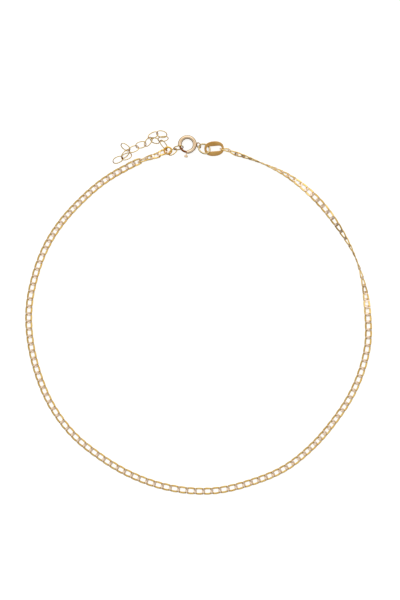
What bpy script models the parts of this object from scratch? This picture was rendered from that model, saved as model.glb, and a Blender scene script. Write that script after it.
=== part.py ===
"""Chain anklet, lying flat: a curb chain closed by a spring ring, with a short extension chain.

Metres, +Z up. The anklet rests on z = 0, and the origin lies under the middle of its bounding
box. +Y points to the clasp. Tables and named sizes are in millimetres and degrees.
"""

import math

import bmesh
import bpy
from mathutils import Euler, Matrix, Vector

MM = 0.001

# Curb chain: a flat chain, so its section is a flat oval.
CHAIN_WIDTH = 1.8
CHAIN_THICKNESS = 0.5
CURB_WIRE = 0.28
CURB_HALF_LENGTH = 1.14
CURB_HALF_WIDTH = 0.75
CURB_RISE = 0.136
TUBE_STATIONS = 78

# Spring ring clasp, lying level.
CLASP_CENTRE = (-2.49, 40.77, 0.56)
CLASP_OUTER_DIAMETER = 4.6
CLASP_TUBE_DIAMETER = 0.95
CLASP_WALL = 0.12
CLASP_SIDES = 12
CLASP_STEPS = 34
CLASP_MOUTHS = (190.0, 266.0)
TRIGGER_SLOT = (259.0, 323.0)
TRIGGER_SLOT_HEIGHT = 0.42
TRIGGER_SLOT_OVERRUN = 0.3
EYE_MEAN_RADIUS = 0.68
EYE_WIRE = 0.30

# Gate: the wire that slides inside the clasp's tube, with its trigger.
GATE_WIRE = 0.50
GATE_ENDS = (184.0, 276.0)
TRIGGER_BEARING = 264.0
TRIGGER_STEM = 0.28
KNOB_DIAMETER = 0.86
KNOB_LENGTH = 0.52
KNOB_RADIUS = 2.92
KNOB_RIM = 0.14

# Tag: a flat oval plate with a long slot.
TAG_CENTRE = (4.06, 39.75, 0.72)
TAG_SIZE = (4.80, 3.62, 0.26)
TAG_SLOT = (3.70, 1.25)
TAG_TURN = 5.0
TAG_SQUARENESS = 2.3
TAG_EDGE = 0.05
TAG_POINTS = 48

# Round rings and oval links: wire and mean half sizes.
CLASP_RING_RADIUS = 1.40
CLASP_RING_WIRE = 0.42
END_RING_RADIUS = 0.90
END_RING_WIRE = 0.40
EXTENSION_WIRE = 0.22
EXTENSION_HALF = (1.27, 0.78)
HOOK_WIRE = 0.26
HOOK_HALF = (1.16, 0.70)
LINK_SQUARENESS = 2.3
BEAD_DIAMETER = 0.40
RING_SIDES = 8
RING_STEPS = 26
LINK_POINTS = 20
LINKS_PER_STRETCH = 3

# The chain's route, anticlockwise from its left end, about LOOP_CENTRE: bearing, distance, and
# how far the flat chain is turned about its own length.
LOOP_CENTRE = (-0.24, -1.16)
ROUTE = (
    # bearing, distance, turn
    (106.5, 40.15, 0.0),
    (115.0, 40.14, 0.0),
    (125.0, 40.04, 0.0),
    (135.0, 39.92, 0.0),
    (145.0, 40.19, 0.0),
    (155.0, 40.50, 0.0),
    (166.0, 40.68, 0.0),
    (178.0, 41.02, 0.0),
    (190.0, 41.10, 0.0),
    (200.0, 41.26, 0.0),
    (212.0, 41.66, 0.0),
    (224.0, 41.82, 0.0),
    (235.0, 41.68, 0.0),
    (247.0, 41.98, 0.0),
    (260.0, 42.46, 0.0),
    (275.0, 42.94, 0.0),
    (288.0, 42.82, 0.0),
    (300.0, 43.02, 0.0),
    (312.0, 42.62, 0.0),
    (323.0, 42.34, 0.0),
    (336.0, 42.52, 0.0),
    (350.0, 42.46, 0.0),
    (361.0, 41.86, 9.0),
    (371.0, 41.58, 56.0),
    (380.5, 41.38, 91.0),
    (392.0, 40.96, 135.0),
    (404.0, 40.98, 180.0),
    (416.0, 40.92, 225.0),
    (427.5, 40.62, 270.0),
    (435.6, 40.80, 301.0),
)

# Each ring and small link: its middle, its turn about +Z, its pitch and its roll.
CLASP_EYE = (0.29, 40.52, 0.95, -63, -1, 53)
CLASP_RING = (1.66, 39.70, 1.10, -29, 1, -37)
END_RING = (-7.24, 39.28, 0.62, 0, 2, 22)
TAG_END_LINKS = (
    # x, y, z, turn, pitch, roll
    (6.76, 39.50, 0.84, -11, 1, -67),
    (8.61, 38.84, 0.95, -24, -1, -62),
)
RING_END_LINKS = (
    # x, y, z, turn, pitch, roll
    (-8.60, 38.80, 0.56, 23, -5, -33),
    (-10.36, 37.96, 0.54, 28, 4, 0),
)
HOOK_LINKS = (
    # x, y, z, turn, pitch, roll
    (-6.06, 38.96, 0.72, 38, -9, -37),
    (-4.66, 39.96, 0.72, 9, -7, 53),
)
EXTENSION_LINKS = (
    # x, y, z, turn, pitch, roll
    (-8.26, 40.74, 0.98, -51, -9, -48),
    (-8.42, 42.16, 0.68, 3, 13, -38),
    (-8.74, 43.32, 0.46, -14, -12, 10),
    (-10.86, 43.00, 0.60, 28, -1, -25),
    (-10.40, 41.70, 1.06, -12, 34, 36),
    (-12.04, 41.44, 0.50, 54, -3, -29),
    (-13.84, 40.70, 0.44, 14, -7, 16),
    (-15.60, 39.66, 0.78, 24, -12, -21),
    (-17.60, 40.12, 0.72, -35, 6, 38),
    (-17.58, 38.46, 0.68, 46, -11, 41),
    (-17.34, 37.86, 0.48, 21, 3, -14),
    (-19.46, 37.04, 0.44, 25, 0, 25),
)

YELLOW_GOLD = (0.83, 0.60, 0.29, 1.0)
RICH_GOLD = (0.72, 0.45, 0.16, 1.0)
PALE_GOLD = (0.86, 0.70, 0.45, 1.0)


def clear_scene():
    for obj in list(bpy.data.objects):
        bpy.data.objects.remove(obj, do_unlink=True)


def gold(name, colour, roughness):
    """A polished gold alloy."""
    material = bpy.data.materials.new(name)
    material.use_nodes = True
    shader = material.node_tree.nodes["Principled BSDF"]
    shader.inputs["Base Color"].default_value = colour
    shader.inputs["Metallic"].default_value = 1.0
    shader.inputs["Roughness"].default_value = roughness
    material.diffuse_color = colour
    return material


def add_object(name, data, material, helper=False):
    obj = bpy.data.objects.new(name, data)
    bpy.context.scene.collection.objects.link(obj)
    data.materials.clear()
    data.materials.append(material)
    if helper:
        obj.hide_render = True
        obj.display_type = "WIRE"
    return obj


def mesh_from(name, bm, sharp_angle=40.0):
    """The finished mesh of a bmesh, with its faces outwards and its round faces smooth."""
    bmesh.ops.recalc_face_normals(bm, faces=bm.faces)
    mesh = bpy.data.meshes.new(name)
    bm.to_mesh(mesh)
    bm.free()
    mesh.shade_smooth()
    mesh.set_sharp_from_angle(angle=math.radians(sharp_angle))
    return mesh


# --- wires, rings and links ------------------------------------------------------------------


def placement(row):
    """The matrix, in metres, of a row: centre, turn about +Z, pitch and roll."""
    x, y, z, turn, pitch, roll = row
    angles = Euler((math.radians(roll), -math.radians(pitch), math.radians(turn)))
    return Matrix.Translation(Vector((x, y, z)) * MM) @ angles.to_matrix().to_4x4()


def oval_path(half_length, half_width, squareness, count):
    """Points round an oval; a squareness of 2 is an ellipse, and more fills its corners out."""
    power = 2.0 / squareness
    path = []
    for step in range(count):
        angle = math.tau * step / count
        cosine, sine = math.cos(angle), math.sin(angle)
        x = math.copysign(abs(cosine) ** power, cosine) * half_length
        y = math.copysign(abs(sine) ** power, sine) * half_width
        path.append(Vector((x, y, 0.0)) * MM)
    return path


def curb_path(count):
    """Points round a curb link: an oval that is twisted so that its neighbours lie in line."""
    path = []
    for step in range(count):
        angle = math.tau * step / count
        x = CURB_HALF_LENGTH * math.cos(angle)
        y = CURB_HALF_WIDTH * math.sin(angle)
        z = CURB_RISE * math.sin(2.0 * angle)
        path.append(Vector((x, y, z)) * MM)
    return path


def closed_wire(name, path, wire, bevel_resolution):
    """A mesh of round wire along a closed path."""
    curve = bpy.data.curves.new(name, "CURVE")
    curve.dimensions = "3D"
    curve.bevel_depth = wire / 2 * MM
    curve.bevel_resolution = bevel_resolution
    spline = curve.splines.new("POLY")
    spline.points.add(len(path) - 1)
    for point, place in zip(spline.points, path):
        point.co = (*place, 1.0)
    spline.use_cyclic_u = True
    guide = bpy.data.objects.new(name, curve)
    mesh = bpy.data.meshes.new_from_object(guide)
    bpy.data.objects.remove(guide)
    bpy.data.curves.remove(curve)
    mesh.shade_smooth()
    return mesh


def nearest_points(first, second):
    """The two closest points of two paths."""
    pairs = ((a, b) for a in first for b in second)
    return min(pairs, key=lambda pair: (pair[0] - pair[1]).length_squared)


def bead_mesh(name, centre):
    """A small ball that joins two links where they hang on each other."""
    bm = bmesh.new()
    bmesh.ops.create_icosphere(
        bm, subdivisions=1, radius=BEAD_DIAMETER / 2 * MM, matrix=Matrix.Translation(centre)
    )
    return mesh_from(name, bm)


def union(target, tool):
    modifier = target.modifiers.new(tool.name, "BOOLEAN")
    modifier.operation = "UNION"
    modifier.solver = "EXACT"
    modifier.object = tool


def link_stretch(name, rows, path, wire, bevel_resolution, material):
    """A short stretch of small links, joined to one solid where each hangs on the next."""
    placed = [[placement(row) @ point for point in path] for row in rows]
    main = None
    for number, points in enumerate(placed, 1):
        mesh = closed_wire(f"{name}_link_{number}", points, wire, bevel_resolution)
        if main is None:
            main = add_object(name, mesh, material)
            continue
        link = add_object(mesh.name, mesh, material, helper=True)
        ends = nearest_points(placed[number - 2], points)
        bead = bead_mesh(f"{name}_bead_{number - 1}", (ends[0] + ends[1]) / 2)
        union(main, add_object(bead.name, bead, material, helper=True))
        union(main, link)
    return main


def round_ring(name, row, radius, wire, material):
    """A round jump ring."""
    bm = bmesh.new()
    across = Matrix.Translation((radius * MM, 0.0, 0.0)) @ Matrix.Rotation(math.pi / 2, 4, "X")
    bmesh.ops.create_circle(bm, segments=RING_SIDES, radius=wire / 2 * MM, matrix=across)
    bmesh.ops.spin(
        bm, geom=bm.edges[:], axis=(0, 0, 1), angle=math.tau, steps=RING_STEPS, use_merge=True
    )
    bmesh.ops.remove_doubles(bm, verts=bm.verts, dist=0.001 * MM)
    obj = add_object(name, mesh_from(name, bm), material)
    obj.matrix_world = placement(row)
    return obj


# --- the curb chain --------------------------------------------------------------------------


def smooth_route(rows, count):
    """Evenly spaced stations on a smooth curve through the rows of a table."""
    dense = []
    last = len(rows) - 1
    for index in range(last):
        p0, p1, p2, p3 = (rows[min(max(index + k, 0), last)] for k in (-1, 0, 1, 2))
        for step in range(12):
            t = step / 12
            dense.append(tuple(blend(a, b, c, d, t) for a, b, c, d in zip(p0, p1, p2, p3)))
    dense.append(rows[last])
    places = [route_point(*row[:2]) for row in dense]
    along = [0.0]
    for here, there in zip(places, places[1:]):
        along.append(along[-1] + (there - here).length)
    stations = []
    segment = 0
    for step in range(count):
        wanted = along[-1] * step / (count - 1)
        while segment < len(along) - 2 and along[segment + 1] < wanted:
            segment += 1
        part = (wanted - along[segment]) / (along[segment + 1] - along[segment])
        place = places[segment].lerp(places[segment + 1], part)
        turn = dense[segment][2] + (dense[segment + 1][2] - dense[segment][2]) * part
        stations.append((place, turn))
    return stations


def blend(before, start, end, after, t):
    """A smooth value between start and end, from its two neighbours on each side."""
    rising = (end - before) / 2
    leaving = (after - start) / 2
    square, cube = t * t, t * t * t
    return (
        (2 * cube - 3 * square + 1) * start
        + (cube - 2 * square + t) * rising
        + (3 * square - 2 * cube) * end
        + (cube - square) * leaving
    )


def route_point(bearing, distance):
    angle = math.radians(bearing)
    x = LOOP_CENTRE[0] + distance * math.cos(angle)
    y = LOOP_CENTRE[1] + distance * math.sin(angle)
    return Vector((x, y, 0.0))


def half_height(turn):
    """How high the flat oval section reaches above its middle when it is turned."""
    flat = (CHAIN_WIDTH - CHAIN_THICKNESS) / 2
    return CHAIN_THICKNESS / 2 + flat * abs(math.sin(math.radians(turn)))


def curb_chain(material):
    """The chain as one flat-oval tube that lies on z = 0 and turns on edge where the chain does."""
    curve = bpy.data.curves.new("curb_chain", "CURVE")
    curve.dimensions = "3D"
    curve.twist_mode = "Z_UP"
    curve.extrude = (CHAIN_WIDTH - CHAIN_THICKNESS) / 2 * MM
    curve.bevel_depth = CHAIN_THICKNESS / 2 * MM
    curve.bevel_resolution = 2
    curve.use_fill_caps = True
    stations = smooth_route(ROUTE, TUBE_STATIONS)
    spline = curve.splines.new("POLY")
    spline.points.add(len(stations) - 1)
    for point, (place, turn) in zip(spline.points, stations):
        point.co = (place.x * MM, place.y * MM, half_height(turn) * MM, 1.0)
        point.tilt = math.radians(90.0 + turn)
    return add_object("curb_chain", curve, material)


# --- the clasp -------------------------------------------------------------------------------


def swept_tube(bm, radius, section_radius, sides, start, end, steps):
    """Sweeps a circle round the clasp's axis from one bearing to another. Returns its end rings."""
    turn = Matrix.Rotation(math.radians(start), 4, "Z")
    across = Matrix.Translation((radius * MM, 0.0, 0.0)) @ Matrix.Rotation(math.pi / 2, 4, "X")
    circle = bmesh.ops.create_circle(
        bm, segments=sides, radius=section_radius * MM, matrix=turn @ across
    )
    first = {edge for vert in circle["verts"] for edge in vert.link_edges}
    swept = bmesh.ops.spin(
        bm, geom=list(first), axis=(0, 0, 1), angle=math.radians(end - start), steps=steps
    )
    last = [item for item in swept["geom_last"] if isinstance(item, bmesh.types.BMEdge)]
    return list(first), last


def clasp_section_radius():
    return (CLASP_OUTER_DIAMETER - CLASP_TUBE_DIAMETER) / 2


def clasp_tube_mesh():
    """The clasp's hollow tube, open at both mouths."""
    bm = bmesh.new()
    start, end = CLASP_MOUTHS[1] - 360.0, CLASP_MOUTHS[0]
    radius = clasp_section_radius()
    inner = swept_tube(bm, radius, CLASP_TUBE_DIAMETER / 2 - CLASP_WALL, CLASP_SIDES, start, end, CLASP_STEPS)
    bmesh.ops.reverse_faces(bm, faces=bm.faces[:])
    outer = swept_tube(bm, radius, CLASP_TUBE_DIAMETER / 2, CLASP_SIDES, start, end, CLASP_STEPS)
    for outside, inside in zip(outer, inner):
        bmesh.ops.bridge_loops(bm, edges=outside + inside)
    return mesh_from("spring_ring", bm)


def slot_cutter(material):
    """A flat wedge that opens the trigger's slot in the tube's outer wall."""
    bm = bmesh.new()
    start, end = (math.radians(bearing) for bearing in TRIGGER_SLOT)
    inner, outer = clasp_section_radius(), CLASP_OUTER_DIAMETER / 2 + TRIGGER_SLOT_OVERRUN
    low = [
        bm.verts.new((inner * MM, 0.0, z * MM))
        for z in (-TRIGGER_SLOT_HEIGHT / 2, TRIGGER_SLOT_HEIGHT / 2)
    ]
    high = [
        bm.verts.new((outer * MM, 0.0, z * MM))
        for z in (TRIGGER_SLOT_HEIGHT / 2, -TRIGGER_SLOT_HEIGHT / 2)
    ]
    face = bm.faces.new(low + high)
    bmesh.ops.rotate(bm, verts=bm.verts, matrix=Matrix.Rotation(start, 3, "Z"))
    bmesh.ops.spin(bm, geom=[face], axis=(0, 0, 1), angle=end - start, steps=10)
    cutter = add_object("trigger_slot_cutter", mesh_from("trigger_slot_cutter", bm), material, True)
    cutter.location = Vector(CLASP_CENTRE) * MM
    return cutter


def clasp_eye(material):
    """The closed eye that is soldered on the tube's outer side."""
    eye = round_ring("clasp_eye", CLASP_EYE, EYE_MEAN_RADIUS, EYE_WIRE, material)
    eye.hide_render = True
    eye.display_type = "WIRE"
    return eye


def spring_ring(material):
    ring = add_object("spring_ring", clasp_tube_mesh(), material)
    ring.location = Vector(CLASP_CENTRE) * MM
    slot = ring.modifiers.new("trigger_slot", "BOOLEAN")
    slot.operation = "DIFFERENCE"
    slot.solver = "EXACT"
    slot.object = slot_cutter(material)
    union(ring, clasp_eye(material))
    return ring


def gate(material):
    """The sliding wire with its trigger, turning on the clasp's own axis."""
    pivot = bpy.data.objects.new("gate_axis", None)
    bpy.context.scene.collection.objects.link(pivot)
    pivot.location = Vector(CLASP_CENTRE) * MM
    bm = bmesh.new()
    rings = swept_tube(bm, clasp_section_radius(), GATE_WIRE / 2, 12, *GATE_ENDS, 18)
    for ring in rings:
        bmesh.ops.contextual_create(bm, geom=ring)
    wire = add_object("gate", mesh_from("gate", bm), material)
    wire.parent = pivot
    for tool in (trigger_stem(material), trigger_knob(material)):
        tool.parent = pivot
        union(wire, tool)
    return wire


def radial_cylinder(name, inner, outer, diameter, segments, material):
    """A cylinder that points out from the clasp's axis at the trigger's bearing."""
    bm = bmesh.new()
    middle = Matrix.Translation(((inner + outer) / 2 * MM, 0.0, 0.0))
    outwards = Matrix.Rotation(math.radians(TRIGGER_BEARING), 4, "Z")
    bmesh.ops.create_cone(
        bm,
        cap_ends=True,
        segments=segments,
        radius1=diameter / 2 * MM,
        radius2=diameter / 2 * MM,
        depth=(outer - inner) * MM,
        matrix=outwards @ middle @ Matrix.Rotation(math.pi / 2, 4, "Y"),
    )
    return add_object(name, mesh_from(name, bm), material, helper=True)


def trigger_stem(material):
    inner = clasp_section_radius()
    return radial_cylinder("trigger_stem", inner, KNOB_RADIUS, TRIGGER_STEM, 10, material)


def trigger_knob(material):
    inner, outer = KNOB_RADIUS - KNOB_LENGTH / 2, KNOB_RADIUS + KNOB_LENGTH / 2
    knob = radial_cylinder("trigger_knob", inner, outer, KNOB_DIAMETER, 16, material)
    edge = knob.modifiers.new("rounded_rim", "BEVEL")
    edge.width = KNOB_RIM * MM
    edge.segments = 2
    return knob


# --- the tag ---------------------------------------------------------------------------------


def tag(material):
    """The flat oval plate with its slot."""
    length, width, thickness = TAG_SIZE
    bm = bmesh.new()
    outline = [bm.verts.new(p) for p in oval_path(length / 2, width / 2, TAG_SQUARENESS, TAG_POINTS)]
    slot = [bm.verts.new(p) for p in slot_path(*TAG_SLOT, TAG_POINTS)]
    loops = []
    for loop in (outline, slot):
        loops += [bm.edges.new((a, b)) for a, b in zip(loop, loop[1:] + loop[:1])]
    bmesh.ops.bridge_loops(bm, edges=loops)
    bmesh.ops.translate(bm, verts=bm.verts, vec=(0.0, 0.0, -thickness / 2 * MM))
    bottom = bm.faces[:]
    top = bmesh.ops.extrude_face_region(bm, geom=bottom, use_keep_orig=True)
    raised = [item for item in top["geom"] if isinstance(item, bmesh.types.BMVert)]
    bmesh.ops.translate(bm, verts=raised, vec=(0.0, 0.0, thickness * MM))
    plate = add_object("tag", mesh_from("tag", bm), material)
    plate.matrix_world = placement((*TAG_CENTRE, TAG_TURN, 0.0, 0.0))
    edge = plate.modifiers.new("rounded_edges", "BEVEL")
    edge.width = TAG_EDGE * MM
    edge.segments = 1
    edge.limit_method = "ANGLE"
    return plate


def slot_path(length, width, count):
    """Points round a slot with half-round ends, each at the bearing of the oval's own point."""
    radius = width / 2
    straight = length / 2 - radius
    path = []
    for step in range(count):
        angle = math.tau * (step + 0.5) / count
        x = math.copysign(straight, math.cos(angle)) + radius * math.cos(angle)
        path.append(Vector((x, radius * math.sin(angle), 0.0)) * MM)
    return path


def build():
    clear_scene()
    yellow = gold("yellow_gold_chain", YELLOW_GOLD, 0.22)
    rich = gold("rich_gold_rings", RICH_GOLD, 0.18)
    pale = gold("pale_gold_fine_links", PALE_GOLD, 0.20)
    curb_chain(yellow)
    link_stretch("tag_end_links", TAG_END_LINKS, curb_path(LINK_POINTS), CURB_WIRE, 1, yellow)
    link_stretch("ring_end_links", RING_END_LINKS, curb_path(LINK_POINTS), CURB_WIRE, 1, yellow)
    tag(gold("rich_gold_tag", RICH_GOLD, 0.18))
    round_ring("clasp_jump_ring", CLASP_RING, CLASP_RING_RADIUS, CLASP_RING_WIRE, rich)
    round_ring("end_jump_ring", END_RING, END_RING_RADIUS, END_RING_WIRE, rich)
    spring_ring(gold("yellow_gold_clasp", YELLOW_GOLD, 0.16))
    gate(gold("rich_gold_gate", RICH_GOLD, 0.16))
    hook = oval_path(*HOOK_HALF, LINK_SQUARENESS, LINK_POINTS)
    link_stretch("hook_links", HOOK_LINKS, hook, HOOK_WIRE, 1, pale)
    extension = oval_path(*EXTENSION_HALF, LINK_SQUARENESS, LINK_POINTS)
    for first in range(0, len(EXTENSION_LINKS), LINKS_PER_STRETCH):
        rows = EXTENSION_LINKS[first : first + LINKS_PER_STRETCH]
        name = f"extension_{first // LINKS_PER_STRETCH + 1}"
        link_stretch(name, rows, extension, EXTENSION_WIRE, 1, pale)


build()
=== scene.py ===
"""Chain anklet: the looks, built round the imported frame.

Sizes and tables are in millimetres and degrees, in the frame's own axes: +Z up, +Y to the clasp.
"""

import math

import bmesh
import bpy
from mathutils import Euler, Matrix, Vector


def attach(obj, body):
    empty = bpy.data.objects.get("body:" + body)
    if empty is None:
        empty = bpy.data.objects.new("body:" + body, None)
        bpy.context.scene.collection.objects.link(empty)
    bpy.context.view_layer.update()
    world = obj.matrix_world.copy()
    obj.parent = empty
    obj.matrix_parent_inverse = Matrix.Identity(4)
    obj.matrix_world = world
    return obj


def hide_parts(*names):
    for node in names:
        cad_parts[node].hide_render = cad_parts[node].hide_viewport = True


MM = 0.001

# Curb links: a flat chain of twisted ovals, all alike, so that they lie in one plane. Each mesh
# size gives the steps round a ring and the sides of its wire.
LINK_HALF_LENGTH = 1.17
LINK_HALF_WIDTH = 0.655
CURB_SQUARENESS = 2.6
LINK_RISE = 0.13
LINK_SECTION = (0.46, 0.24)
LINK_END_SPREAD = 1.05
LINK_FLATS = (0.35, 0.72)
LINK_MESH = (24, 8)
CHAIN_WIDTH = 1.8
CHAIN_THICKNESS = 0.5

# Spring ring.
CLASP_CENTRE = (-2.49, 40.77, 0.56)
CLASP_OUTER_DIAMETER = 4.6
CLASP_TUBE_DIAMETER = 0.95
CLASP_WALL = 0.12
CLASP_MOUTHS = (190.0, 266.0)
TRIGGER_SLOT = (259.0, 323.0)
TRIGGER_SLOT_HEIGHT = 0.42
CLASP_MESH = (96, 24)
EYE_MEAN_RADIUS = 0.68
EYE_WIRE = 0.30
EYE_MESH = (48, 14)
GATE_WIRE = 0.50
GATE_ENDS = (184.0, 276.0)
GATE_MESH = (40, 16)
TRIGGER_BEARING = 264.0
TRIGGER_STEM = 0.28
TRIGGER_STEM_SIDES = 14
KNOB_DIAMETER = 0.86
KNOB_LENGTH = 0.52
KNOB_RADIUS = 2.92
KNOB_SIDES = 32
KNOB_EDGE = 0.16

# Tag.
TAG_CENTRE = (4.06, 39.75, 0.72)
TAG_SIZE = (4.80, 3.62, 0.26)
TAG_SLOT = (3.70, 1.25)
TAG_TURN = 5.0
TAG_SQUARENESS = 2.3
TAG_EDGE = 0.10
TAG_POINTS = 96

# Rings and fine links.
CLASP_RING_RADIUS = 1.40
CLASP_RING_WIRE = 0.42
END_RING_RADIUS = 0.90
END_RING_WIRE = 0.40
EXTENSION_WIRE = 0.22
EXTENSION_HALF = (1.27, 0.78)
HOOK_WIRE = 0.26
HOOK_HALF = (1.16, 0.70)
LINK_SQUARENESS = 2.3
RING_MESH = (64, 16)
FINE_LINK_MESH = (48, 12)

# The chain's route, anticlockwise from its left end, about LOOP_CENTRE: bearing, distance, how
# far the flat chain is turned about its own length, and the count of links so far.
LOOP_CENTRE = (-0.24, -1.16)
ROUTE = (
    # bearing, distance, turn, links so far
    (106.5, 40.15, 0.0, -0.1),
    (115.0, 40.14, 0.0, 3.4),
    (125.0, 40.04, 0.0, 7.4),
    (135.0, 39.92, 0.0, 11.3),
    (145.0, 40.19, 0.0, 15.3),
    (155.0, 40.50, 0.0, 19.3),
    (166.0, 40.68, 0.0, 23.4),
    (178.0, 41.02, 0.0, 28.0),
    (190.0, 41.10, 0.0, 32.7),
    (200.0, 41.26, 0.0, 36.6),
    (212.0, 41.66, 0.0, 41.2),
    (224.0, 41.82, 0.0, 45.6),
    (235.0, 41.68, 0.0, 49.7),
    (247.0, 41.98, 0.0, 54.2),
    (260.0, 42.46, 0.0, 59.0),
    (275.0, 42.94, 0.0, 64.5),
    (288.0, 42.82, 0.0, 69.4),
    (300.0, 43.02, 0.0, 74.2),
    (312.0, 42.62, 0.0, 79.1),
    (323.0, 42.34, 0.0, 83.8),
    (336.0, 42.52, 0.0, 89.0),
    (350.0, 42.46, 0.0, 94.4),
    (361.0, 41.86, 9.0, 98.7),
    (371.0, 41.58, 56.0, 102.8),
    (380.5, 41.38, 91.0, 106.0),
    (392.0, 40.96, 135.0, 110.1),
    (404.0, 40.98, 180.0, 114.6),
    (416.0, 40.92, 225.0, 119.2),
    (427.5, 40.62, 270.0, 123.9),
    (435.6, 40.80, 301.0, 127.3),
)
STATIONS_PER_ROW = 24

# Each ring and hanging link: its middle, its turn about +Z, its pitch and its roll.
CLASP_EYE = (0.29, 40.52, 0.95, -63, -1, 53)
CLASP_RING = (1.66, 39.70, 1.10, -29, 1, -37)
END_RING = (-7.24, 39.28, 0.62, 0, 2, 22)
END_LINKS = (
    (6.76, 39.50, 0.86, -11, 1, -67),
    (8.70, 38.76, 0.88, -23, -1, -60),
    (-8.60, 38.80, 0.56, 21, -5, -33),
    (-10.24, 37.98, 0.66, 17, 0, -38),
    (-11.89, 37.51, 0.72, 17, 0, -46),
    (-13.36, 36.92, 0.80, 22, -6, -62),
    (-14.80, 36.44, 0.46, 22, -4, 14),
    (-16.40, 35.68, 0.27, 26, 0, 0),
)
# The route's links before this one are END_LINKS rows, which lie less flat.
FIRST_FLAT_LINK = 4
HOOK_LINKS = (
    (-6.06, 38.96, 0.72, 38, -9, -37),
    (-4.66, 39.96, 0.72, 9, -7, 53),
)
EXTENSION_LINKS = (
    (-8.26, 40.74, 0.98, -51, -9, -48),
    (-8.42, 42.16, 0.68, 3, 13, -38),
    (-8.74, 43.32, 0.46, -14, -12, 10),
    (-10.86, 43.00, 0.60, 28, -1, -25),
    (-10.40, 41.70, 1.06, -12, 34, 36),
    (-12.04, 41.44, 0.50, 54, -3, -29),
    (-13.84, 40.70, 0.44, 14, -7, 16),
    (-15.60, 39.66, 0.78, 24, -12, -21),
    (-17.60, 40.12, 0.72, -35, 6, 38),
    (-17.58, 38.46, 0.68, 46, -11, 41),
    (-17.34, 37.86, 0.48, 21, 3, -14),
    (-19.46, 37.04, 0.44, 25, 0, 25),
)

# How wide the gold's patches of tone, its haze and its dents are, and how deep the dents.
TONE_SIZE = 1.6
HAZE_SIZE = 0.05
DENT_SIZE = 0.25
DENT_DEPTH = 0.01

# Edges sharper than this stay crisp, on the hammered links and on the other pieces.
LINK_EDGE_ANGLE = 36.0
EDGE_ANGLE = 50.0
SMOOTH = 180.0

# The studio, with lengths in metres from here on. Each light: bearing, degrees from straight
# above, size and power.
SOFT_BOXES = {
    "left_box": (180.0, 58.0, (0.34, 0.60), 0.16),
    "right_box": (0.0, 58.0, (0.34, 0.60), 0.16),
    "back_box": (90.0, 74.0, (0.70, 0.40), 0.40),
}
SOFT_BOX_DISTANCE = 0.6
SOFT_BOX_COLOUR = "#E6E8F4"
FLOOR_HALF_SIZE = 1.5
CAMERA_DISTANCE = 0.90
CAMERA_VIEW_HEIGHT = 0.1468
CAMERA_PLACE = (0.61 * MM, 2.75 * MM)
SENSOR_HEIGHT = 24.0

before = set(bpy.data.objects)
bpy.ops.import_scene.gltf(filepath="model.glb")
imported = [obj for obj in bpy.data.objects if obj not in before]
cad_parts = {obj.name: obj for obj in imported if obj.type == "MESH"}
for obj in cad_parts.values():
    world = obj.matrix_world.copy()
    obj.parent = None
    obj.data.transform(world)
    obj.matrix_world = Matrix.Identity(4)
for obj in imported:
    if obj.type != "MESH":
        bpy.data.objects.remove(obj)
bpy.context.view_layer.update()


# --- materials -------------------------------------------------------------------------------


def linear(text):
    """A linear RGBA colour from an sRGB hex value."""
    channels = [int(text[i : i + 2], 16) / 255 for i in (1, 3, 5)]
    return [c / 12.92 if c <= 0.04045 else ((c + 0.055) / 1.055) ** 2.4 for c in channels] + [1.0]


def new_material(name):
    material = bpy.data.materials.new(name)
    material.use_nodes = True
    return material, material.node_tree, material.node_tree.nodes["Principled BSDF"]


def add_node(tree, kind, settings=None, **links):
    """A node with its settings; each link is an input's name and the socket that feeds it."""
    node = tree.nodes.new(kind)
    for name, value in (settings or {}).items():
        if name in node.inputs:
            node.inputs[name].default_value = value
        else:
            setattr(node, name, value)
    for name, socket in links.items():
        tree.links.new(socket, node.inputs[name.replace("_", " ")])
    return node


def set_ramp(node, *stops):
    """Gives a colour ramp its stops: places and hex colours."""
    elements = node.color_ramp.elements
    while len(elements) < len(stops):
        elements.new(0.5)
    for element, (place, colour) in zip(elements, stops):
        element.position = place
        element.color = linear(colour)


def per_metre(size_mm):
    """A texture's scale, so that its features are about this many millimetres across."""
    return 1.0 / (size_mm * MM)


def noise(tree, size, detail, place):
    settings = {"Scale": per_metre(size), "Detail": detail}
    return add_node(tree, "ShaderNodeTexNoise", settings, Vector=place)


def tinted(tree, colour, attribute, low, high, other):
    """The colour, giving way to others as a vertex attribute rises from low to high."""
    level = add_node(tree, "ShaderNodeAttribute", {"attribute_name": attribute})
    limits = {"From Min": low, "From Max": high}
    share = add_node(tree, "ShaderNodeMapRange", limits, Value=level.outputs["Fac"])
    mixed = add_node(tree, "ShaderNodeMix", {"data_type": "RGBA"})
    tree.links.new(share.outputs["Result"], mixed.inputs[0])
    tree.links.new(colour, mixed.inputs[6])
    shades = add_node(tree, "ShaderNodeValToRGB", Fac=level.outputs["Fac"])
    set_ramp(shades, *other)
    tree.links.new(shades.outputs["Color"], mixed.inputs[7])
    return mixed.outputs[2]


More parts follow.
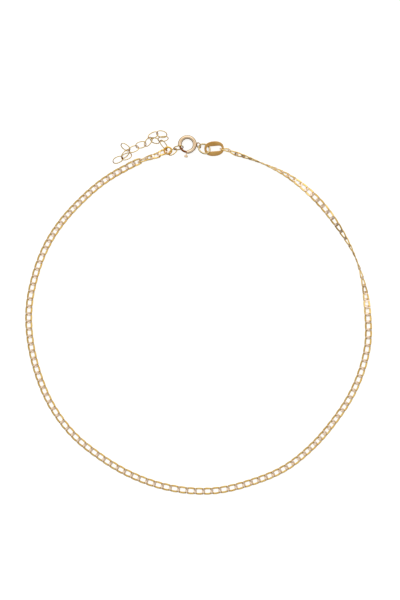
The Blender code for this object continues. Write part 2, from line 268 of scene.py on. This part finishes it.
def polished_gold(name, deep, main, bright, roughness, side_shade=None, ends=None):
    """Gold alloy that was tumbled and buffed: mirror bright, with a fine haze and soft dents.

    The sides of a wire are painted darker: painted shade for the dim room that they mirror. A
    link's ends have colours of their own, as (attribute, low, high, stops): painted shade where
    its neighbours cross or hang on it, and painted sheen on a curb link's ends.
    """
    material, tree, shader = new_material(name)
    place = add_node(tree, "ShaderNodeTexCoord").outputs["Object"]
    tone = noise(tree, TONE_SIZE, 2.0, place)
    colour = add_node(tree, "ShaderNodeValToRGB", Fac=tone.outputs["Fac"])
    set_ramp(colour, (0.30, deep), (0.52, main), (0.72, bright))
    colour = colour.outputs["Color"]
    if ends:
        colour = tinted(tree, colour, *ends)
    # Painted shade: the wire's sides darken towards this colour, standing for the dim room they
    # mirror.
    if side_shade:
        colour = tinted(tree, colour, "wire_side", 0.50, 0.92, ((0.0, side_shade), (1.0, side_shade)))
    tree.links.new(colour, shader.inputs["Base Color"])
    haze = noise(tree, HAZE_SIZE, 4.0, place)
    limits = {"To Min": roughness * 0.7, "To Max": roughness * 1.5}
    gloss = add_node(tree, "ShaderNodeMapRange", limits, Value=haze.outputs["Fac"])
    tree.links.new(gloss.outputs["Result"], shader.inputs["Roughness"])
    dents = noise(tree, DENT_SIZE, 1.0, place)
    depth = {"Strength": 0.15, "Distance": DENT_DEPTH * MM}
    bump = add_node(tree, "ShaderNodeBump", depth, Height=dents.outputs["Fac"])
    tree.links.new(bump.outputs["Normal"], shader.inputs["Normal"])
    shader.inputs["Metallic"].default_value = 1.0
    return material


# Painted shade darkens a curb link where its neighbours cross it, and its ends are painted a
# paler, pinker tone as painted sheen for the light their bars catch.
CROSSING_SHADE_AND_END_SHEEN = ("link_end", 0.42, 0.56, ((0.60, "#BC9048"), (0.76, "#FCE6D2")))
# Painted shade: the fine links are darkened to a warm brown at their ends, where they hang on each
# other.
HANGING_END_SHADE = ("link_end", 0.82, 0.96, ((0.85, "#C89048"), (1.0, "#A8702C")))
# The colour after each roughness below is painted shade on the wire's sides.
CHAIN_GOLD = polished_gold(
    "yellow_gold_curb_wire", "#F8CC74", "#FFDA86", "#FFE49C", 0.16, "#E4C47E", CROSSING_SHADE_AND_END_SHEEN
)
TAG_GOLD = polished_gold("rich_gold_stamped_plate", "#D2A25C", "#DEB06A", "#E8BE7E", 0.18)
RING_GOLD = polished_gold("rich_gold_ring_wire", "#FFBC44", "#FFCC52", "#FFDA6C", 0.14)
CLASP_GOLD = polished_gold(
    "bright_gold_clasp_tube", "#FADAB4", "#FFE4C4", "#FFEED6", 0.10, "#9A8048"
)
# Painted shade: the gate's wire is dark brown for the shade it lies in inside the clasp's tube and
# mouth.
SHADED_GATE_GOLD = polished_gold("gate_wire_gold_painted_shade", "#7E4822", "#90562A", "#A46836", 0.16)
FINE_GOLD = polished_gold(
    "pale_gold_fine_wire", "#E4C068", "#F0CE78", "#F6DA88", 0.16, "#B0964A", HANGING_END_SHADE
)
CLASP_RING_GOLD = polished_gold(
    "green_gold_ring_wire", "#DEC690", "#E8D29E", "#F0DEB0", 0.16, "#A49266"
)
# Bleached matt paper, lit through from below so that it shows no shade.
FLOOR_WHITE, _, floor_shader = new_material("matt_white_paper")
floor_shader.inputs["Base Color"].default_value = linear("#BCBCBB")
floor_shader.inputs["Roughness"].default_value = 0.9
floor_shader.inputs["Emission Color"].default_value = linear("#FFFFFF")
floor_shader.inputs["Emission Strength"].default_value = 0.75


# --- shaping ---------------------------------------------------------------------------------


def placement(row):
    """The matrix, in metres, of a row: centre, turn about +Z, pitch and roll."""
    x, y, z, turn, pitch, roll = row
    angles = Euler((math.radians(roll), -math.radians(pitch), math.radians(turn)))
    return Matrix.Translation(Vector((x, y, z)) * MM) @ angles.to_matrix().to_4x4()


def ring_bmesh(radius, wire, steps, sides, start=0.0, sweep=360.0, facet=0.0):
    """A bmesh of round wire swept about +Z, closed where it goes all the way round.

    The layer wire_side is 0 along the wire's top and bottom and 1 along its sides.
    """
    bm = bmesh.new()
    turn = Matrix.Rotation(math.radians(start), 4, "Z")
    across = Matrix.Translation((radius * MM, 0.0, 0.0)) @ Matrix.Rotation(math.pi / 2, 4, "X")
    across = across @ Matrix.Rotation(math.radians(facet), 4, "Z")
    bmesh.ops.create_circle(bm, segments=sides, radius=wire / 2 * MM, matrix=turn @ across)
    bmesh.ops.spin(
        bm,
        geom=bm.edges[:],
        axis=(0, 0, 1),
        angle=math.radians(sweep),
        steps=steps,
        use_merge=sweep == 360.0,
    )
    bmesh.ops.remove_doubles(bm, verts=bm.verts, dist=0.0005 * MM)
    bmesh.ops.recalc_face_normals(bm, faces=bm.faces)
    aside = bm.verts.layers.float.new("wire_side")
    for vert in bm.verts:
        vert[aside] = abs(vert.co.xy.length / MM - radius) / (wire / 2)
    return bm


def squared(value, power):
    """A power of a value's size, with the value's sign."""
    return math.copysign(abs(value) ** power, value)


def stretch_ring(bm, half, squareness, rise, section, spread=1.0, flats=(1.0, 1.0)):
    """Pulls a ring of 1 mm radius and 1 mm wire to an oval, twisted, with flats hammered on it.

    The layer link_end is 0 at the middle of the oval's long sides and 1 at its ends.
    """
    half_length, half_width = half
    power = 2.0 / squareness
    ends = bm.verts.layers.float.new("link_end")
    for vert in bm.verts:
        angle = math.atan2(vert.co.y, vert.co.x)
        vert[ends] = abs(math.cos(angle))
        aside = squared(2.0 * (vert.co.xy.length / MM - 1.0), flats[0]) / 2.0
        above = squared(2.0 * vert.co.z / MM, flats[1]) / 2.0
        cosine, sine = math.cos(angle), math.sin(angle)
        x = squared(cosine, power) * half_length
        y = squared(sine, power) * half_width
        out = Vector((x / half_length**2, y / half_width**2, 0.0)).normalized()
        level = above * section[1] + rise * math.sin(2.0 * angle)
        width = section[0] * (1.0 + (spread - 1.0) * cosine**4)
        vert.co = (Vector((x, y, level)) + out * aside * width) * MM


def add_cylinder(bm, diameter, length, sides, matrix):
    """Adds a closed cylinder and gives its vertices."""
    radius = diameter / 2 * MM
    cylinder = bmesh.ops.create_cone(
        bm,
        cap_ends=True,
        segments=sides,
        radius1=radius,
        radius2=radius,
        depth=length * MM,
        matrix=matrix,
    )
    return cylinder["verts"]


def round_rims(bm, edges, radius):
    """Rounds those of the edges that are square corners."""
    rims = [edge for edge in edges if edge.calc_face_angle(0.0) > 1.0]
    bmesh.ops.bevel(
        bm, geom=rims, offset=radius * MM, segments=4, profile=0.5, affect="EDGES", material=-1
    )


def add_copy(target, source, matrix):
    """Adds a placed copy of one bmesh to another."""
    mesh = bpy.data.meshes.new("copy")
    source.to_mesh(mesh)
    mesh.transform(matrix)
    target.from_mesh(mesh)
    bpy.data.meshes.remove(mesh)


def piece(name, bm, material, nodes, body="anklet", sharp=SMOOTH):
    """A finished piece: its mesh, material, body, and the solids it stands for."""
    mesh = bpy.data.meshes.new(name)
    bm.to_mesh(mesh)
    bm.free()
    mesh.materials.append(material)
    mesh.shade_smooth()
    if sharp < SMOOTH:
        mesh.set_sharp_from_angle(angle=math.radians(sharp))
    obj = bpy.data.objects.new(name, mesh)
    bpy.context.scene.collection.objects.link(obj)
    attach(obj, body)
    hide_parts(*nodes)
    return obj


# --- the curb chain --------------------------------------------------------------------------


def blend(before, start, end, after, t):
    """A smooth value between start and end, from its two neighbours on each side."""
    rising = (end - before) / 2
    leaving = (after - start) / 2
    square, cube = t * t, t * t * t
    return (
        (2 * cube - 3 * square + 1) * start
        + (cube - 2 * square + t) * rising
        + (3 * square - 2 * cube) * end
        + (cube - square) * leaving
    )


def route_stations():
    """Close stations on the smooth curve through the route: place, turn and count of links."""
    stations = []
    last = len(ROUTE) - 1
    for index in range(last):
        rows = [ROUTE[min(max(index + k, 0), last)] for k in (-1, 0, 1, 2)]
        for step in range(STATIONS_PER_ROW):
            part = step / STATIONS_PER_ROW
            stations.append([blend(*values, part) for values in zip(*rows)])
    stations.append(list(ROUTE[last]))
    placed = []
    for bearing, distance, turn, links in stations:
        angle = math.radians(bearing)
        x = LOOP_CENTRE[0] + distance * math.cos(angle)
        y = LOOP_CENTRE[1] + distance * math.sin(angle)
        placed.append((Vector((x, y, 0.0)), turn, links))
    return placed


def half_height(turn):
    """How high the flat chain reaches above its middle when it is turned."""
    flat = (CHAIN_WIDTH - CHAIN_THICKNESS) / 2
    return CHAIN_THICKNESS / 2 + flat * abs(math.sin(math.radians(turn)))


def chain_placements():
    """A matrix for each link along the route, where the count of links reaches a whole number."""
    stations = route_stations()
    matrices = []
    for (here, turn, links), (there, next_turn, next_links) in zip(stations, stations[1:]):
        number = math.ceil(links)
        if number >= next_links or number < FIRST_FLAT_LINK:
            continue
        part = (number - links) / (next_links - links)
        middle = here.lerp(there, part)
        turned = turn + (next_turn - turn) * part
        middle.z = half_height(turned)
        heading = math.degrees(math.atan2(there.y - here.y, there.x - here.x))
        matrices.append(placement((*middle, heading, 0.0, turned)))
    return matrices


def curb_link_bmesh():
    """One curb link: a flattened wire oval, twisted so that its neighbours lie in line."""
    bm = ring_bmesh(1.0, 1.0, *LINK_MESH, facet=180.0 / LINK_MESH[1])
    half = (LINK_HALF_LENGTH, LINK_HALF_WIDTH)
    stretch_ring(bm, half, CURB_SQUARENESS, LINK_RISE, LINK_SECTION, LINK_END_SPREAD, LINK_FLATS)
    return bm


def curb_links():
    """The whole chain: links in step along the route, and the end links in their own places."""
    link = curb_link_bmesh()
    bm = bmesh.new()
    for matrix in chain_placements():
        add_copy(bm, link, matrix)
    for row in END_LINKS:
        add_copy(bm, link, placement(row))
    link.free()
    nodes = ("curb_chain", "tag_end_links", "ring_end_links")
    return piece("curb_links", bm, CHAIN_GOLD, nodes, sharp=LINK_EDGE_ANGLE)


# --- rings and fine links --------------------------------------------------------------------


def jump_ring(name, row, radius, wire, material, node):
    """A round ring of round wire, pinched shut."""
    bm = ring_bmesh(radius, wire, *RING_MESH)
    bm.transform(placement(row))
    return piece(name, bm, material, [node])


def fine_links(name, rows, half, wire, nodes):
    """The fine chain's links: round wire bent to ovals, each hung on the next."""
    link = ring_bmesh(1.0, 1.0, *FINE_LINK_MESH)
    stretch_ring(link, half, LINK_SQUARENESS, 0.0, (wire, wire))
    bm = bmesh.new()
    for row in rows:
        add_copy(bm, link, placement(row))
    link.free()
    return piece(name, bm, FINE_GOLD, nodes)


# --- the clasp -------------------------------------------------------------------------------


def clasp_section_radius():
    """How far the tube's middle line is from the clasp's axis."""
    return (CLASP_OUTER_DIAMETER - CLASP_TUBE_DIAMETER) / 2


def in_trigger_slot(centre):
    """Whether a face of the tube's outer wall lies in the trigger's slot."""
    bearing = math.degrees(math.atan2(centre.y, centre.x)) % 360.0
    outside = centre.xy.length > clasp_section_radius() * MM
    level = abs(centre.z) < TRIGGER_SLOT_HEIGHT / 2 * MM
    return outside and level and TRIGGER_SLOT[0] < bearing < TRIGGER_SLOT[1]


def clasp_shell():
    """The clasp's hollow tube, open at both mouths and along its slot, with its soldered eye."""
    start, end = CLASP_MOUTHS[1] - 360.0, CLASP_MOUTHS[0]
    tube = (clasp_section_radius(), CLASP_TUBE_DIAMETER)
    bm = ring_bmesh(*tube, *CLASP_MESH, start, end - start)
    gone = [face for face in bm.faces if in_trigger_slot(face.calc_center_median())]
    bmesh.ops.delete(bm, geom=gone, context="FACES")
    bmesh.ops.solidify(bm, geom=bm.faces[:], thickness=CLASP_WALL * MM)
    bmesh.ops.recalc_face_normals(bm, faces=bm.faces)
    bm.transform(Matrix.Translation(Vector(CLASP_CENTRE) * MM))
    eye = ring_bmesh(EYE_MEAN_RADIUS, EYE_WIRE, *EYE_MESH)
    add_copy(bm, eye, placement(CLASP_EYE))
    eye.free()
    return piece("clasp_shell", bm, CLASP_GOLD, ["spring_ring"], sharp=EDGE_ANGLE)


def gate_and_trigger():
    """The gate's wire with its flat ends, stem and thumb knob."""
    start, end = GATE_ENDS
    bm = ring_bmesh(clasp_section_radius(), GATE_WIRE, *GATE_MESH, start, end - start)
    holes = [edge for edge in bm.edges if edge.is_boundary]
    bmesh.ops.holes_fill(bm, edges=holes)
    out = Matrix.Rotation(math.radians(TRIGGER_BEARING), 4, "Z")
    upright = Matrix.Rotation(math.pi / 2, 4, "Y")
    inner, outer = clasp_section_radius(), KNOB_RADIUS
    halfway = Matrix.Translation(((inner + outer) / 2 * MM, 0.0, 0.0))
    stem_place = out @ halfway @ upright
    stem = add_cylinder(bm, TRIGGER_STEM, outer - inner, TRIGGER_STEM_SIDES, stem_place)
    knob_place = out @ Matrix.Translation((KNOB_RADIUS * MM, 0.0, 0.0)) @ upright
    knob = add_cylinder(bm, KNOB_DIAMETER, KNOB_LENGTH, KNOB_SIDES, knob_place)
    for face in {face for vert in stem + knob for face in vert.link_faces}:
        face.material_index = 1
    round_rims(bm, {edge for vert in knob for edge in vert.link_edges}, KNOB_EDGE)
    bm.transform(Matrix.Translation(Vector(CLASP_CENTRE) * MM))
    bmesh.ops.recalc_face_normals(bm, faces=bm.faces)
    gate = piece("gate_wire", bm, SHADED_GATE_GOLD, ["gate"], body="gate", sharp=EDGE_ANGLE)
    gate.data.materials.append(CLASP_GOLD)
    return gate


# --- the tag ---------------------------------------------------------------------------------


def oval_loop(bm, half_length, half_width, squareness, count):
    """A closed loop of edges round an oval."""
    verts = bmesh.ops.create_circle(bm, segments=count, radius=MM)["verts"]
    power = 2.0 / squareness
    for vert in verts:
        cosine, sine = vert.co.x / MM, vert.co.y / MM
        vert.co.x = squared(cosine, power) * half_length * MM
        vert.co.y = squared(sine, power) * half_width * MM
    return list({edge for vert in verts for edge in vert.link_edges})


def slot_loop(bm, length, width, count):
    """A closed loop of edges round a slot with half-round ends."""
    radius = width / 2
    straight = length / 2 - radius
    turn = Matrix.Rotation(math.pi / count, 4, "Z")
    verts = bmesh.ops.create_circle(bm, segments=count, radius=radius * MM, matrix=turn)["verts"]
    for vert in verts:
        vert.co.x += math.copysign(straight, vert.co.x) * MM
    return list({edge for vert in verts for edge in vert.link_edges})


def tag_plate():
    """The flat oval plate with its slot; its stamped edges are tumbled round."""
    length, width, thickness = TAG_SIZE
    bm = bmesh.new()
    outline = oval_loop(bm, length / 2, width / 2, TAG_SQUARENESS, TAG_POINTS)
    slot = slot_loop(bm, *TAG_SLOT, TAG_POINTS)
    bmesh.ops.bridge_loops(bm, edges=outline + slot)
    bmesh.ops.translate(bm, verts=bm.verts, vec=(0.0, 0.0, -thickness / 2 * MM))
    top = bmesh.ops.extrude_face_region(bm, geom=bm.faces[:], use_keep_orig=True)
    raised = [item for item in top["geom"] if isinstance(item, bmesh.types.BMVert)]
    bmesh.ops.translate(bm, verts=raised, vec=(0.0, 0.0, thickness * MM))
    bmesh.ops.recalc_face_normals(bm, faces=bm.faces)
    round_rims(bm, bm.edges, TAG_EDGE)
    bm.transform(placement((*TAG_CENTRE, TAG_TURN, 0.0, 0.0)))
    return piece("tag_plate", bm, TAG_GOLD, ["tag"], sharp=EDGE_ANGLE)


# --- the studio ------------------------------------------------------------------------------


def white_floor():
    """The paper that the anklet lies on."""
    bm = bmesh.new()
    bmesh.ops.create_grid(bm, x_segments=1, y_segments=1, size=FLOOR_HALF_SIZE)
    mesh = bpy.data.meshes.new("paper_floor")
    bm.to_mesh(mesh)
    bm.free()
    mesh.materials.append(FLOOR_WHITE)
    floor = bpy.data.objects.new("paper_floor", mesh)
    bpy.context.scene.collection.objects.link(floor)
    # The gold's sides mirror the dim lower room, as they do between dark cards.
    floor.visible_glossy = False


def soft_box(name, bearing, from_zenith, size, power):
    """An area light that faces the anklet."""
    data = bpy.data.lights.new(name, "AREA")
    data.shape = "RECTANGLE"
    data.size, data.size_y = size
    data.energy = power
    data.color = linear(SOFT_BOX_COLOUR)[:3]
    lamp = bpy.data.objects.new(name, data)
    bpy.context.scene.collection.objects.link(lamp)
    polar, azimuth = math.radians(from_zenith), math.radians(bearing)
    direction = Vector(
        (math.sin(polar) * math.cos(azimuth), math.sin(polar) * math.sin(azimuth), math.cos(polar))
    )
    lamp.location = direction * SOFT_BOX_DISTANCE
    lamp.rotation_euler = direction.to_track_quat("Z", "Y").to_euler()


def studio_lights():
    """Dim boxes at the sides and back, in a pale room with a darker band at eye level."""
    for name, row in SOFT_BOXES.items():
        soft_box(name, *row)
    world = bpy.data.worlds.new("studio")
    bpy.context.scene.world = world
    world.use_nodes = True
    tree = world.node_tree
    around = add_node(tree, "ShaderNodeTexCoord").outputs["Generated"]
    side = add_node(tree, "ShaderNodeSeparateXYZ", Vector=around)
    limits = {"From Min": -1.0, "From Max": 1.0}
    share = add_node(tree, "ShaderNodeMapRange", limits, Value=side.outputs["Z"])
    room = add_node(tree, "ShaderNodeValToRGB", Fac=share.outputs["Result"])
    below = ((0.36, "#C6C2B8"), (0.46, "#A29C8C"))
    above = ((0.54, "#B8B4A6"), (0.68, "#E8E6E0"), (0.88, "#FFFFFF"), (0.98, "#D2CEC4"))
    set_ramp(room, *below, *above)
    background = tree.nodes["Background"]
    tree.links.new(room.outputs["Color"], background.inputs["Color"])
    # The front of the room is dimmer than its back, past the clasp.
    limits = {"From Min": -0.85, "From Max": 0.85, "To Min": 0.48, "To Max": 1.42}
    front = add_node(tree, "ShaderNodeMapRange", limits, Value=side.outputs["Y"])
    tree.links.new(front.outputs["Result"], background.inputs["Strength"])


def camera():
    """Straight above, with a long lens."""
    data = bpy.data.cameras.new("camera")
    data.sensor_fit = "VERTICAL"
    data.sensor_height = SENSOR_HEIGHT
    data.lens = data.sensor_height * CAMERA_DISTANCE / CAMERA_VIEW_HEIGHT
    data.clip_start = 0.01
    data.clip_end = 10.0
    eye = bpy.data.objects.new("camera", data)
    bpy.context.scene.collection.objects.link(eye)
    eye.location = (*CAMERA_PLACE, CAMERA_DISTANCE)
    bpy.context.scene.camera = eye


def build():
    """Makes every piece, then the studio."""
    bpy.context.scene.view_settings.view_transform = "Standard"
    curb_links()
    clasp_ring = (CLASP_RING, CLASP_RING_RADIUS, CLASP_RING_WIRE, CLASP_RING_GOLD)
    jump_ring("clasp_ring", *clasp_ring, "clasp_jump_ring")
    end_ring = (END_RING, END_RING_RADIUS, END_RING_WIRE, RING_GOLD)
    jump_ring("end_ring", *end_ring, "end_jump_ring")
    fine_links("hook_wires", HOOK_LINKS, HOOK_HALF, HOOK_WIRE, ["hook_links"])
    names = [f"extension_{number}" for number in (1, 2, 3, 4)]
    fine_links("extension_wires", EXTENSION_LINKS, EXTENSION_HALF, EXTENSION_WIRE, names)
    clasp_shell()
    gate_and_trigger()
    tag_plate()
    white_floor()
    studio_lights()
    camera()


build()
